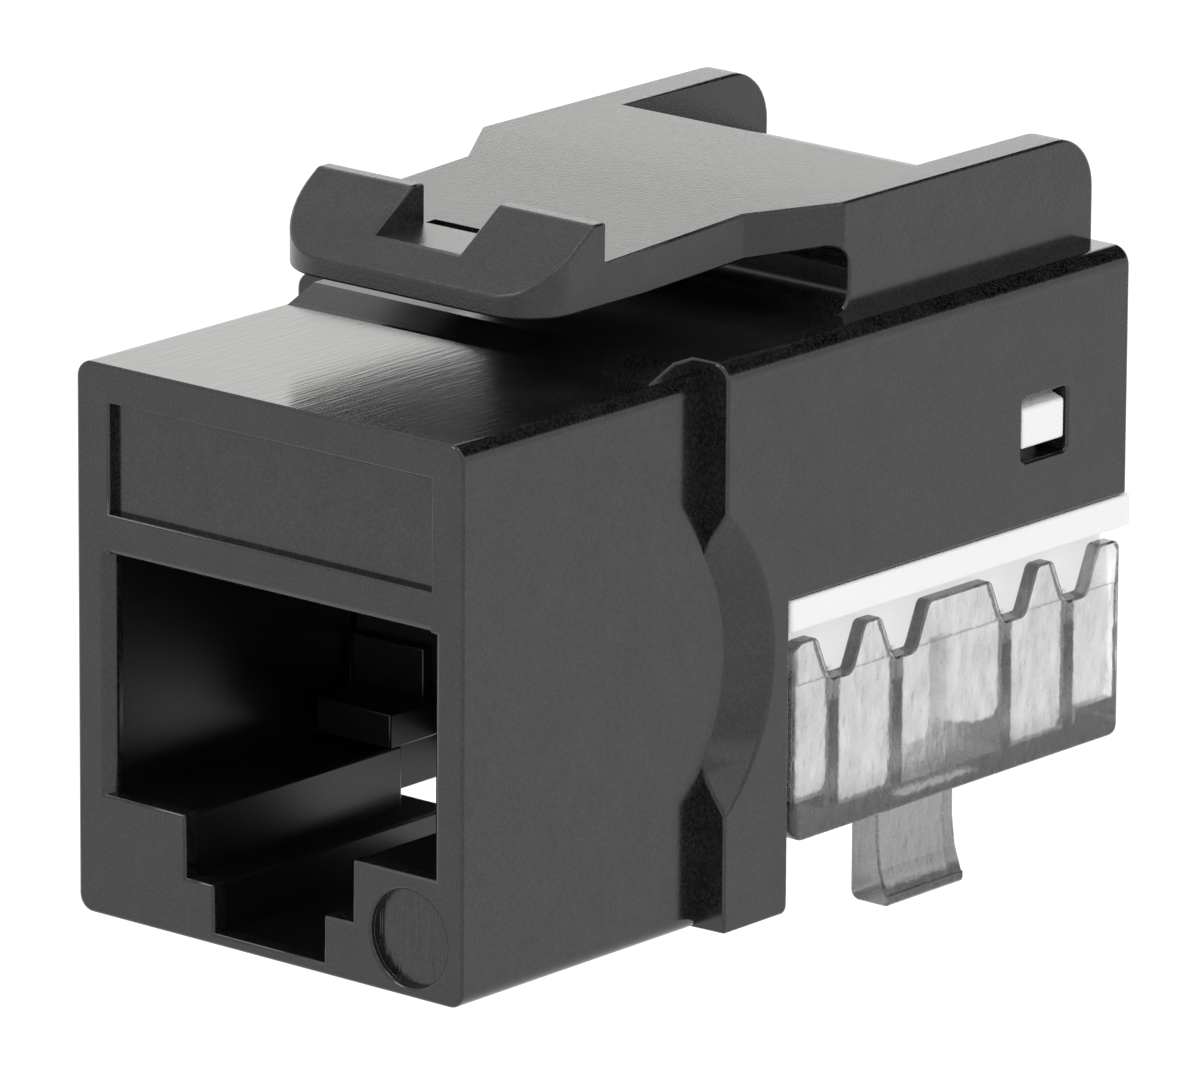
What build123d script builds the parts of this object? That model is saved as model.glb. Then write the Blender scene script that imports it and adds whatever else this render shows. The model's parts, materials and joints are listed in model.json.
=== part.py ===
from build123d import *
import os

os.makedirs("parts", exist_ok=True)

# Keystone jack: modular port in front, latch arm on top, wire block and clear wire cap below the rear hood.
# Millimetres. +Z up, the port looks toward -Y, the wires enter from below and behind.
# Depths are counted from the port face and heights from the sole of the front box.

# Front box and port
box_width = 14.5
box_height = 16.25
box_corner_radius = 0.5
panel_depth = 10.3
port_half_width = 6.0
port_cover = 5.55
port_roof = box_height - port_cover
port_floor = 3.6
port_side_bevel = 0.3
port_roof_bevel = 0.15
latch_way_half_width = 3.17
latch_way_floor = 1.75
tab_way_half_width = 2.09
tab_way_floor = 0.33
front_wall = 1.5

# Label recess and gate recess in the port face
label_half_width = 6.05
label_rise = 1.2
label_margin = 1.12
label_bottom = port_roof + label_rise
label_top = box_height - label_margin
label_depth = 0.3
gate_centre_x = 5.25
gate_centre_z = 1.7
gate_diameter = 2.85
gate_depth = 0.3

# Pocket above the port that takes the contact carrier
carrier_pocket_half_width = 6.4
box_roof = 1.25
carrier_pocket_top = box_height - box_roof

# Flange, hood and the thumb scallops in the flange
hood_half_width = 8.12
hood_rear_depth = 28.45
hood_bottom = 9.25
hood_rise = 0.45
hood_top = box_height + hood_rise
hood_edge_radius = 0.55
hood_wall = 1.17
hood_roof = 1.3
hood_rear_wall = 1.2
flange_rear_depth = 13.1
flange_inner_half_width = 6.6
flange_foot_radius = 0.25
ledge_rear_depth = 9.3
ledge_relief_half_width = 4.24
scallop_height = 7.9
scallop_radius = 5.72
scallop_inner_depth = 5.5
scallop_outer_depth = 6.66

# Snap windows in the hood sides
window_front_depth = 23.55
window_rear_depth = 25.64
window_bottom = 11.15
window_top = 13.07
window_round = 0.18

# Ramp across the box top, in front of the hood
ramp_half_width = 6.8
ramp_front_depth = 8.4
ramp_crest_depth = 9.55

# Latch arm, its horns and the two ears at its root. Rises and gaps are counted from the hood top.
arm_half_width = 5.2
arm_lip_depth = 5.3
arm_lip_rise = 2.22
arm_gap = 1.6
arm_right_corner_radius = 1.6
arm_left_corner_radius = 2.3
arm_root_gap = 2.04
arm_root_rise = 3.26
arm_neck_depth = 14.4
arm_neck_rise = 3.12
arm_neck_gap = 1.77
arm_straight_depth = 10.0
arm_flare_depth = 16.9
horn_rear_depth = 8.4
horn_foot_rise = 2.85
horn_rise = 4.02
horn_crest = 0.5
horn_round = 0.3
horn_gap_half_width = 1.6
horn_gap_rise = 2.88
horn_groove_rear_depth = 8.88
horn_groove_rise = 2.66
slot_rear_depth = 17.2
slot_round = 0.7
ear_half_width = 6.8
ear_thickness = 1.3
ear_rear_depth = 28.33
ear_rear_round = 1.65
slope_front_depth = 21.6
slope_rear_rise = 1.15
roof_core_half_width = 5.0
roof_core_front_depth = 18.6
roof_core_rear_depth = 26.6
roof_core_rise = 0.1

# Heights of the arm, the horns and the slope that follow the hood top
arm_lip_top = hood_top + arm_lip_rise
arm_underside = hood_top + arm_gap
arm_root_underside = hood_top + arm_root_gap
arm_root_top = hood_top + arm_root_rise
arm_neck_top = hood_top + arm_neck_rise
arm_neck_underside = hood_top + arm_neck_gap
horn_foot_top = hood_top + horn_foot_rise
horn_top = hood_top + horn_rise
horn_gap_floor = hood_top + horn_gap_rise
horn_groove_floor = hood_top + horn_groove_rise
slope_rear_top = hood_top + slope_rear_rise
roof_core_top = hood_top + roof_core_rise

# Fits
slip_gap = 0.03
post_gap = 0.05
contact_gap = 0.03

# Contact carrier
carrier_plate_half_width = carrier_pocket_half_width - slip_gap
carrier_front_depth = front_wall + post_gap
carrier_plate_bottom = port_roof + slip_gap
carrier_plate_rise = 1.5
carrier_plate_top = port_roof + carrier_plate_rise
carrier_wall_front_depth = 10.4
carrier_rear_depth = 12.2
carrier_wall_bottom = port_floor + slip_gap
carrier_wall_half_width = port_half_width - slip_gap
comb_depth = 0.9
comb_drop = 3.3
comb_bottom = port_roof - comb_drop
stop_inner_half_width = 2.5
stop_outer_half_width = 5.35
stop_front_depth = 8.02
stop_bottom = 3.88
stop_top = 4.93
pad_inner_half_width = 3.02
pad_outer_half_width = 5.8
pad_bottom = 4.9
pad_top = 6.35
pad_thickness = 0.35
leg_inner_half_width = 4.24
leg_bottom = 1.8

# Contact springs
contact_count = 8
contact_pitch = 1.02
contact_width = 0.4
contact_thickness = 0.24
contact_run_rise = 0.52
contact_run_height = port_roof + contact_run_rise
contact_front_depth = 2.6
contact_bend_radius = 0.5
contact_tip_depth = 11.0
contact_tip_drop = 2.5
contact_tip_height = port_roof - contact_tip_drop
contact_odd_pin_depth = 11.5
contact_even_pin_depth = 9.2
contact_groove_front_depth = 2.0

# Circuit board
board_half_width = 5.9
board_front_depth = 8.3
board_rear_depth = 27.1
board_bottom = carrier_plate_top + slip_gap
board_thickness = 1.2
board_corner_radius = 0.5
board_hole_diameter = 0.62
board_slot_diameter = 0.9
pin_stand_out = 0.5

# Wire block: strip, tray under the hood, snap lugs and slotted posts
strip_height = 0.97
strip_front_depth = 13.16
strip_rear_depth = 28.75
strip_edge_radius = 0.2
tray_half_width = hood_half_width - hood_wall - 0.1
tray_front_depth = 13.6
tray_rear_depth = hood_rear_depth - hood_rear_wall - 0.1
tray_wall = 0.8
lug_gap = 0.06
lug_stand_in = 0.08
lug_bevel = 0.3
lug_drop = 0.38
post_inner_half_width = 4.0
post_front_depth = 13.9
post_rear_depth = 28.6
wire_slot_width = 0.56
wire_slot_top = 6.45
wire_centre_depth = 21.27
wire_inner_spacing = 2.5
wire_outer_spacing = 5.38
end_post_tip = 2.95
post_tip = 2.48
middle_post_tip = 3.45
pillar_gap_front_depth = 20.35
pillar_gap_rear_depth = 22.19
tip_bevel = 0.35

# Wire terminals
terminal_x = 5.0
terminal_thickness = 0.4
terminal_width = 2.0
terminal_tip = 3.1
terminal_slot_width = 0.3
terminal_slot_top = 6.1
terminal_pin_width = 0.6
terminal_pin_shift = 0.65
terminal_gap = 0.03

# Clear wire cap
cap_half_width = 7.75
cap_front_depth = 13.75
cap_rear_depth = 28.8
cap_bottom = 1.82
cap_top = 7.75
cap_wall = 0.6
cap_rim_wall = 0.5
cap_floor = 0.6
cap_corner_radius = 0.25
cap_foot_round = 0.5
cap_crown_round = 0.45
v_slot_bottom = 6.37
v_slot_top_width = 2.15
v_slot_bottom_width = 0.95
v_slot_round = 0.3
tooth_round = 0.25
end_step_top = 2.88
end_step_gap = 0.1
stuffer_width = 0.46
stuffer_top = 5.5
stuffer_inner = 5.45
stuffer_web_inner = 6.6
stuffer_web_top = 6.3
tab_inner = 5.19
tab_outer = 6.15
tab_length = 3.5
tab_drop = 1.66
hook_reach = 0.45
hook_height = 0.36
hook_round = 0.3

# Placement: the origin is at the middle of the base of the whole part.
front_y = -cap_rear_depth / 2
sole_z = tab_drop


def front_plane(depth):
    # X across, heights up, looking at the port from the front
    return Plane(origin=(0, front_y + depth, sole_z), x_dir=(1, 0, 0), z_dir=(0, -1, 0))


def side_plane(across):
    # Depths along, heights up, seen from the right
    return Plane(origin=(across, front_y, sole_z), x_dir=(0, 1, 0), z_dir=(1, 0, 0))


def level_plane(height):
    # X across, depths along, seen from above
    return Plane(origin=(0, front_y, sole_z + height), x_dir=(1, 0, 0), z_dir=(0, 0, 1))


def block(x_range, depth_range, height_range, mode=Mode.ADD):
    # A plain box between two values along each axis
    width = x_range[1] - x_range[0]
    length = depth_range[1] - depth_range[0]
    centre = ((x_range[0] + x_range[1]) / 2, (depth_range[0] + depth_range[1]) / 2)
    with BuildSketch(level_plane(height_range[0])) as base:
        with Locations(centre):
            Rectangle(width, length)
    extrude(base.sketch, amount=height_range[1] - height_range[0], mode=mode)


def centred_block(half_width, depth_range, height_range, mode=Mode.ADD):
    block((-half_width, half_width), depth_range, height_range, mode)


def round_corners(rounds):
    # Each entry is a corner of the open sketch and the radius it gets
    for corner, radius in rounds:
        fillet(vertices().sort_by_distance((corner[0], corner[1], 0))[0], radius)


def side_prism(points, x_range, mode=Mode.ADD, rounds=()):
    # A side view outline of (depth, height) points, drawn from one X to another
    with BuildSketch(side_plane(x_range[0])) as outline:
        with BuildLine():
            Polyline(*points, close=True)
        make_face()
        round_corners(rounds)
    extrude(outline.sketch, amount=x_range[1] - x_range[0], mode=mode)


def front_prism(points, depth_range, mode=Mode.ADD, rounds=()):
    # A front view outline of (x, height) points, drawn from one depth to another
    with BuildSketch(front_plane(depth_range[0])) as outline:
        with BuildLine():
            Polyline(*points, close=True)
        make_face()
        round_corners(rounds)
    extrude(outline.sketch, amount=depth_range[0] - depth_range[1], mode=mode)


def level_prism(points, height_range, mode=Mode.ADD):
    # A plan view outline of (x, depth) points, drawn from one height to another
    with BuildSketch(level_plane(height_range[0])) as outline:
        with BuildLine():
            Polyline(*points, close=True)
        make_face()
    extrude(outline.sketch, amount=height_range[1] - height_range[0], mode=mode)


def scallop_cut(side):
    # A round thumb cut that leans back as it goes out
    inner_x = side * box_width / 2
    outer_x = side * (2 * hood_half_width - box_width / 2)
    with BuildSketch(side_plane(inner_x)) as inner_round:
        with Locations((scallop_inner_depth, scallop_height)):
            Circle(scallop_radius)
    with BuildSketch(side_plane(outer_x)) as outer_round:
        with Locations((2 * scallop_outer_depth - scallop_inner_depth, scallop_height)):
            Circle(scallop_radius)
    loft(sections=[inner_round.sketch, outer_round.sketch], mode=Mode.SUBTRACT)


wire_depths = [
    wire_centre_depth - wire_outer_spacing,
    wire_centre_depth - wire_inner_spacing,
    wire_centre_depth + wire_inner_spacing,
    wire_centre_depth + wire_outer_spacing,
]
contact_places = [(index - (contact_count - 1) / 2) * contact_pitch for index in range(contact_count)]
strip_top = hood_bottom - slip_gap
strip_bottom = strip_top - strip_height
board_top = board_bottom + board_thickness
pin_top = board_top + pin_stand_out
hood_inner_half_width = hood_half_width - hood_wall
ear_inner_half_width = ear_half_width - ear_thickness


def terminal_pin_depth(wire_depth):
    # The pins stand nearer the middle of the block than the forks
    if wire_depth < wire_centre_depth:
        return wire_depth + terminal_pin_shift
    return wire_depth - terminal_pin_shift


def contact_pin_depth(index):
    if index % 2 == 0:
        return contact_odd_pin_depth
    return contact_even_pin_depth


# Housing: one moulding
with BuildPart() as housing:
    # Hood, and the flange that runs down on both sides of the box
    with BuildSketch(front_plane(panel_depth)):
        with Locations((0, (hood_bottom + hood_top) / 2)):
            Rectangle(2 * hood_half_width, hood_top - hood_bottom)
        fillet(vertices().group_by(Axis.Y)[-1], hood_edge_radius)
    extrude(amount=panel_depth - hood_rear_depth)
    with BuildSketch(side_plane(-hood_half_width)):
        with Locations(((panel_depth + flange_rear_depth) / 2, (hood_bottom + hood_edge_radius) / 2)):
            Rectangle(flange_rear_depth - panel_depth, hood_bottom + hood_edge_radius)
        fillet(vertices().group_by(Axis.Y)[0].sort_by(Axis.X)[-1], flange_foot_radius)
    extrude(amount=2 * hood_half_width)
    # Thumb scallops
    for side in (-1, 1):
        scallop_cut(side)
    # Front box
    with BuildSketch(front_plane(0)):
        with Locations((0, box_height / 2)):
            RectangleRounded(box_width, box_height, box_corner_radius)
    extrude(amount=-panel_depth)
    # Hollow of the hood, open below, and the space between the flange legs
    centred_block(
        hood_inner_half_width,
        (flange_rear_depth, hood_rear_depth - hood_rear_wall),
        (hood_bottom - 1, hood_top - hood_roof),
        Mode.SUBTRACT,
    )
    centred_block(
        flange_inner_half_width,
        (panel_depth, flange_rear_depth),
        (latch_way_floor, hood_top - hood_roof),
        Mode.SUBTRACT,
    )
    centred_block(flange_inner_half_width, (panel_depth, flange_rear_depth), (-1, latch_way_floor), Mode.SUBTRACT)
    # Ramp across the box top
    ramp_outline = [
        (ramp_front_depth, box_height),
        (ramp_crest_depth, hood_top),
        (slot_rear_depth, hood_top),
        (slot_rear_depth, hood_top - hood_roof),
        (ramp_front_depth, hood_top - hood_roof),
    ]
    side_prism(ramp_outline, (-ramp_half_width, ramp_half_width))
    # Latch arm and ears in one side outline
    slot_top_corner = (slot_rear_depth, arm_root_underside)
    slot_low_corner = (slot_rear_depth, hood_top)
    ear_corner = (ear_rear_depth, arm_root_top)
    horn_front_corner = (horn_rear_depth - horn_crest, horn_top)
    arm_outline = [
        (arm_lip_depth, arm_underside),
        (arm_straight_depth, arm_underside),
        (arm_neck_depth, arm_neck_underside),
        slot_top_corner,
        slot_low_corner,
        (slot_rear_depth - slot_round, hood_top),
        (slot_rear_depth - slot_round, hood_top - hood_roof),
        (ear_rear_depth, hood_top - hood_roof),
        ear_corner,
        (arm_flare_depth, arm_root_top),
        (arm_neck_depth, arm_neck_top),
        (horn_rear_depth, horn_foot_top),
        (horn_rear_depth, horn_top),
        horn_front_corner,
        (arm_lip_depth, arm_lip_top),
    ]
    arm_rounds = [
        (slot_top_corner, slot_round),
        (slot_low_corner, slot_round - slip_gap),
        (ear_corner, ear_rear_round),
        (horn_front_corner, horn_round),
    ]
    side_prism(arm_outline, (-ear_half_width, ear_half_width), rounds=arm_rounds)
    # Plan outline of the arm: round front corners, straight sides, then wider to the ears
    with BuildSketch(level_plane(hood_top + slot_round)):
        with Locations((0, arm_flare_depth / 2)):
            Rectangle(2 * hood_half_width, arm_flare_depth)
        with BuildLine():
            Polyline(
                (-arm_half_width, arm_lip_depth),
                (arm_half_width, arm_lip_depth),
                (arm_half_width, arm_neck_depth),
                (ear_half_width, arm_flare_depth),
                (ear_half_width, slot_rear_depth),
                (-ear_half_width, slot_rear_depth),
                (-ear_half_width, arm_flare_depth),
                (-arm_half_width, arm_neck_depth),
                close=True,
            )
        make_face(mode=Mode.SUBTRACT)
    extrude(amount=horn_top - hood_top, mode=Mode.SUBTRACT)
    lip_corners = edges().filter_by(Axis.Z).filter_by_position(
        Axis.Y, front_y + arm_lip_depth - slip_gap, front_y + arm_lip_depth + slip_gap
    )
    fillet(lip_corners.sort_by(Axis.X)[0], arm_left_corner_radius)
    lip_corners = edges().filter_by(Axis.Z).filter_by_position(
        Axis.Y, front_y + arm_lip_depth - slip_gap, front_y + arm_lip_depth + slip_gap
    )
    fillet(lip_corners.sort_by(Axis.X)[-1], arm_right_corner_radius)
    # Gap between the two horns
    centred_block(
        horn_gap_half_width,
        (arm_lip_depth - 1, horn_groove_rear_depth),
        (horn_gap_floor, horn_top + 1),
        Mode.SUBTRACT,
    )
    centred_block(
        horn_gap_half_width,
        (horn_rear_depth, horn_groove_rear_depth),
        (horn_groove_floor, horn_top),
        Mode.SUBTRACT,
    )
    # Slope down to the rear between the ears
    slope_outline = [
        (slope_front_depth, arm_root_top),
        (slope_front_depth, arm_root_top + 1),
        (ear_rear_depth + 1, arm_root_top + 1),
        (ear_rear_depth + 1, slope_rear_top - (arm_root_top - slope_rear_top) / (ear_rear_depth - slope_front_depth)),
    ]
    side_prism(slope_outline, (-ear_inner_half_width, ear_inner_half_width), Mode.SUBTRACT)
    # Core under the root of the arm
    centred_block(
        roof_core_half_width,
        (roof_core_front_depth, roof_core_rear_depth),
        (hood_top - hood_roof - 1, roof_core_top),
        Mode.SUBTRACT,
    )
    # Port with its stepped floor
    port_outline = [
        (-port_half_width, port_roof),
        (-port_half_width, port_floor),
        (-latch_way_half_width, port_floor),
        (-latch_way_half_width, latch_way_floor),
        (-tab_way_half_width, latch_way_floor),
        (-tab_way_half_width, tab_way_floor),
        (tab_way_half_width, tab_way_floor),
        (tab_way_half_width, latch_way_floor),
        (latch_way_half_width, latch_way_floor),
        (latch_way_half_width, port_floor),
        (port_half_width, port_floor),
        (port_half_width, port_roof),
    ]
    front_prism(port_outline, (0, panel_depth), Mode.SUBTRACT)
    centred_block(
        ledge_relief_half_width,
        (ledge_rear_depth, panel_depth),
        (latch_way_floor, port_floor),
        Mode.SUBTRACT,
    )
    for side in (-1, 1):
        side_bevel = [
            (side * port_half_width, -port_side_bevel),
            (side * (port_half_width + 2 * port_side_bevel), -port_side_bevel),
            (side * port_half_width, port_side_bevel),
        ]
        level_prism(side_bevel, (port_floor, port_roof), Mode.SUBTRACT)
    roof_bevel = [
        (-port_roof_bevel, port_roof),
        (-port_roof_bevel, port_roof + 2 * port_roof_bevel),
        (port_roof_bevel, port_roof),
    ]
    side_prism(roof_bevel, (-port_half_width, port_half_width), Mode.SUBTRACT)
    # Pocket for the contact carrier, reached from behind
    centred_block(
        carrier_pocket_half_width,
        (front_wall, panel_depth),
        (port_roof, carrier_pocket_top),
        Mode.SUBTRACT,
    )
    # Label recess, left bare
    centred_block(label_half_width, (-1, label_depth), (label_bottom, label_top), Mode.SUBTRACT)
    # Gate recess
    with BuildSketch(front_plane(0)):
        with Locations((gate_centre_x, gate_centre_z)):
            Circle(gate_diameter / 2)
    extrude(amount=-gate_depth, mode=Mode.SUBTRACT)
    # Snap windows through both hood sides
    window_corners = [
        (window_front_depth, window_bottom),
        (window_rear_depth, window_bottom),
        (window_rear_depth, window_top),
        (window_front_depth, window_top),
    ]
    window_rounds = [(corner, window_round) for corner in window_corners]
    side_prism(window_corners, (-hood_half_width - 1, hood_half_width + 1), Mode.SUBTRACT, window_rounds)
housing.part.label = "housing"
export_step(housing.part, "parts/housing.step")


# Contact carrier: roof and back of the port
with BuildPart() as contact_carrier:
    centred_block(
        carrier_plate_half_width,
        (carrier_front_depth, carrier_rear_depth),
        (carrier_plate_bottom, carrier_plate_top),
    )
    centred_block(
        carrier_wall_half_width,
        (carrier_wall_front_depth, carrier_rear_depth),
        (carrier_wall_bottom, carrier_plate_top),
    )
    # Plug stops, pads and legs on both sides of the latch way
    for side in (-1, 1):
        stop_range = sorted((side * stop_inner_half_width, side * stop_outer_half_width))
        block(stop_range, (stop_front_depth, carrier_wall_front_depth), (stop_bottom, stop_top))
        pad_range = sorted((side * pad_inner_half_width, side * pad_outer_half_width))
        pad_depths = (carrier_wall_front_depth - pad_thickness, carrier_wall_front_depth)
        block(pad_range, pad_depths, (pad_bottom, pad_top))
        leg_range = sorted((side * leg_inner_half_width, side * carrier_wall_half_width))
        leg_depths = (carrier_wall_front_depth, carrier_rear_depth)
        block(leg_range, leg_depths, (leg_bottom, carrier_wall_bottom + 1))
    # A groove, a pin way and a comb slot for each contact
    for index, place in enumerate(contact_places):
        groove_half_width = contact_width / 2 + contact_gap
        groove_range = (place - groove_half_width, place + groove_half_width)
        pin_depth = contact_pin_depth(index)
        groove_top = contact_run_height + contact_thickness / 2 + contact_gap
        pin_range = (pin_depth - 1.2, pin_depth + contact_thickness / 2 + contact_gap)
        block(
            groove_range,
            (contact_groove_front_depth, pin_range[1]),
            (carrier_plate_bottom - 1, groove_top),
            Mode.SUBTRACT,
        )
        block(
            groove_range,
            (pin_depth - contact_bend_radius, pin_range[1]),
            (contact_run_height - 1, carrier_plate_top + 1),
            Mode.SUBTRACT,
        )
        block(
            groove_range,
            (carrier_wall_front_depth - 1, carrier_wall_front_depth + comb_depth),
            (comb_bottom, carrier_plate_bottom),
            Mode.SUBTRACT,
        )
contact_carrier.part.label = "contact_carrier"
export_step(contact_carrier.part, "parts/contact_carrier.step")


# Contact springs: pin up into the board, run forward under the carrier roof, turn back down into the comb
for index, place in enumerate(contact_places):
    pin_depth = contact_pin_depth(index)
    contact_name = "contact_" + str(index + 1)
    with BuildPart() as contact_spring:
        with BuildSketch(side_plane(place - contact_width / 2)):
            with BuildLine():
                contact_path = FilletPolyline(
                    (pin_depth, pin_top),
                    (pin_depth, contact_run_height),
                    (contact_front_depth, contact_run_height),
                    (contact_front_depth + 0.35, contact_run_height - 1.1),
                    (contact_tip_depth, contact_tip_height),
                    radius=0.35,
                )
                offset(amount=contact_thickness / 2, side=Side.LEFT)
            make_face()
        extrude(amount=contact_width)
    contact_spring.part.label = contact_name
    export_step(contact_spring.part, "parts/" + contact_name + ".step")


# Circuit board on top of the carrier and the wire block tray
with BuildPart() as circuit_board:
    with BuildSketch(level_plane(board_bottom)):
        with Locations((0, (board_front_depth + board_rear_depth) / 2)):
            RectangleRounded(2 * board_half_width, board_rear_depth - board_front_depth, board_corner_radius)
        for index, place in enumerate(contact_places):
            with Locations((place, contact_pin_depth(index))):
                Circle(board_hole_diameter / 2, mode=Mode.SUBTRACT)
        for wire_depth in wire_depths:
            for side in (-1, 1):
                with Locations((side * terminal_x, terminal_pin_depth(wire_depth))):
                    Circle(board_slot_diameter / 2, mode=Mode.SUBTRACT)
    extrude(amount=board_thickness)
circuit_board.part.label = "circuit_board"
export_step(circuit_board.part, "parts/circuit_board.step")


# Wire block: white moulding
with BuildPart() as idc_block:
    with BuildSketch(level_plane(strip_bottom)):
        with Locations((0, (strip_front_depth + strip_rear_depth) / 2)):
            RectangleRounded(2 * hood_half_width, strip_rear_depth - strip_front_depth, strip_edge_radius)
    extrude(amount=strip_height)
    # Tray that goes up inside the hood and carries the board
    centred_block(tray_half_width, (tray_front_depth, tray_rear_depth), (strip_bottom, carrier_plate_top))
    centred_block(
        tray_half_width - tray_wall,
        (tray_front_depth + tray_wall, tray_rear_depth - tray_wall),
        (strip_top, carrier_plate_top),
        Mode.SUBTRACT,
    )
    # Snap lugs that show in the hood windows
    for side in (-1, 1):
        lug_outline = [
            (side * (tray_half_width - tray_wall * 0.9), carrier_plate_top - 1.2),
            (side * (tray_half_width - tray_wall * 0.9), window_top - lug_gap),
            (side * (tray_half_width + 0.4), window_top - lug_gap),
            (side * (hood_half_width - lug_stand_in), window_top - lug_gap - lug_bevel),
            (side * (hood_half_width - lug_stand_in), window_bottom + lug_drop),
            (side * (tray_half_width - 0.2), window_bottom + lug_drop),
            (side * (tray_half_width - 0.2), carrier_plate_top - 1.2),
        ]
        front_prism(lug_outline, (window_front_depth + lug_gap, window_rear_depth - lug_gap))
    # Two rows of posts with a wire slot between each pair of pillars
    post_outer_half_width = cap_half_width - cap_wall - post_gap
    pillar_edges = [
        (post_front_depth, wire_depths[0] - wire_slot_width / 2, end_post_tip),
        (wire_depths[0] + wire_slot_width / 2, wire_depths[1] - wire_slot_width / 2, post_tip),
        (wire_depths[1] + wire_slot_width / 2, pillar_gap_front_depth, middle_post_tip),
        (pillar_gap_rear_depth, wire_depths[2] - wire_slot_width / 2, middle_post_tip),
        (wire_depths[2] + wire_slot_width / 2, wire_depths[3] - wire_slot_width / 2, post_tip),
        (wire_depths[3] + wire_slot_width / 2, post_rear_depth, end_post_tip),
    ]
    for side in (-1, 1):
        row_range = sorted((side * post_inner_half_width, side * post_outer_half_width))
        block(row_range, (post_front_depth, post_rear_depth), (wire_slot_top, strip_top))
        for near_edge, far_edge, tip in pillar_edges:
            pillar_outline = [
                (near_edge, wire_slot_top + 0.1),
                (near_edge, tip + tip_bevel),
                (near_edge + tip_bevel * 0.6, tip),
                (far_edge - tip_bevel * 0.6, tip),
                (far_edge, tip + tip_bevel),
                (far_edge, wire_slot_top + 0.1),
            ]
            side_prism(pillar_outline, row_range)
        slit_half_thickness = terminal_thickness / 2 + terminal_gap
        slit_range = (side * terminal_x - slit_half_thickness, side * terminal_x + slit_half_thickness)
        for wire_depth in wire_depths:
            slit_half_length = terminal_width / 2 + terminal_gap
            slit_length = (wire_depth - slit_half_length, wire_depth + slit_half_length)
            block(slit_range, slit_length, (terminal_tip - terminal_gap, strip_top + 1), Mode.SUBTRACT)
            way_half_length = terminal_pin_width / 2 + terminal_gap
            way_centre = terminal_pin_depth(wire_depth)
            way_length = (way_centre - way_half_length, way_centre + way_half_length)
            block(slit_range, way_length, (strip_top, carrier_plate_top + 1), Mode.SUBTRACT)
idc_block.part.label = "idc_block"
export_step(idc_block.part, "parts/idc_block.step")


# Wire terminals: a fork below, a pin up into the board
terminal_number = 0
for side in (1, -1):
    for wire_depth in wire_depths:
        terminal_number = terminal_number + 1
        terminal_name = "idc_terminal_" + str(terminal_number)
        half_fork = terminal_width / 2
        half_slot = terminal_slot_width / 2
        pin_front = terminal_pin_depth(wire_depth) - terminal_pin_width / 2
        pin_rear = terminal_pin_depth(wire_depth) + terminal_pin_width / 2
        with BuildPart() as terminal:
            terminal_outline = [
                (wire_depth - half_fork, terminal_tip + 0.4),
                (wire_depth - half_fork + 0.35, terminal_tip),
                (wire_depth - half_slot - 0.3, terminal_tip),
                (wire_depth - half_slot, terminal_tip + 0.6),
                (wire_depth - half_slot, terminal_slot_top),
                (wire_depth + half_slot, terminal_slot_top),
                (wire_depth + half_slot, terminal_tip + 0.6),
                (wire_depth + half_slot + 0.3, terminal_tip),
                (wire_depth + half_fork - 0.35, terminal_tip),
                (wire_depth + half_fork, terminal_tip + 0.4),
                (wire_depth + half_fork, strip_top),
                (pin_rear, strip_top),
                (pin_rear, pin_top),
                (pin_front, pin_top),
                (pin_front, strip_top),
                (wire_depth - half_fork, strip_top),
            ]
            terminal_left = side * terminal_x - terminal_thickness / 2
            side_prism(terminal_outline, (terminal_left, terminal_left + terminal_thickness))
        terminal.part.label = terminal_name
        export_step(terminal.part, "parts/" + terminal_name + ".step")


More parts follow.
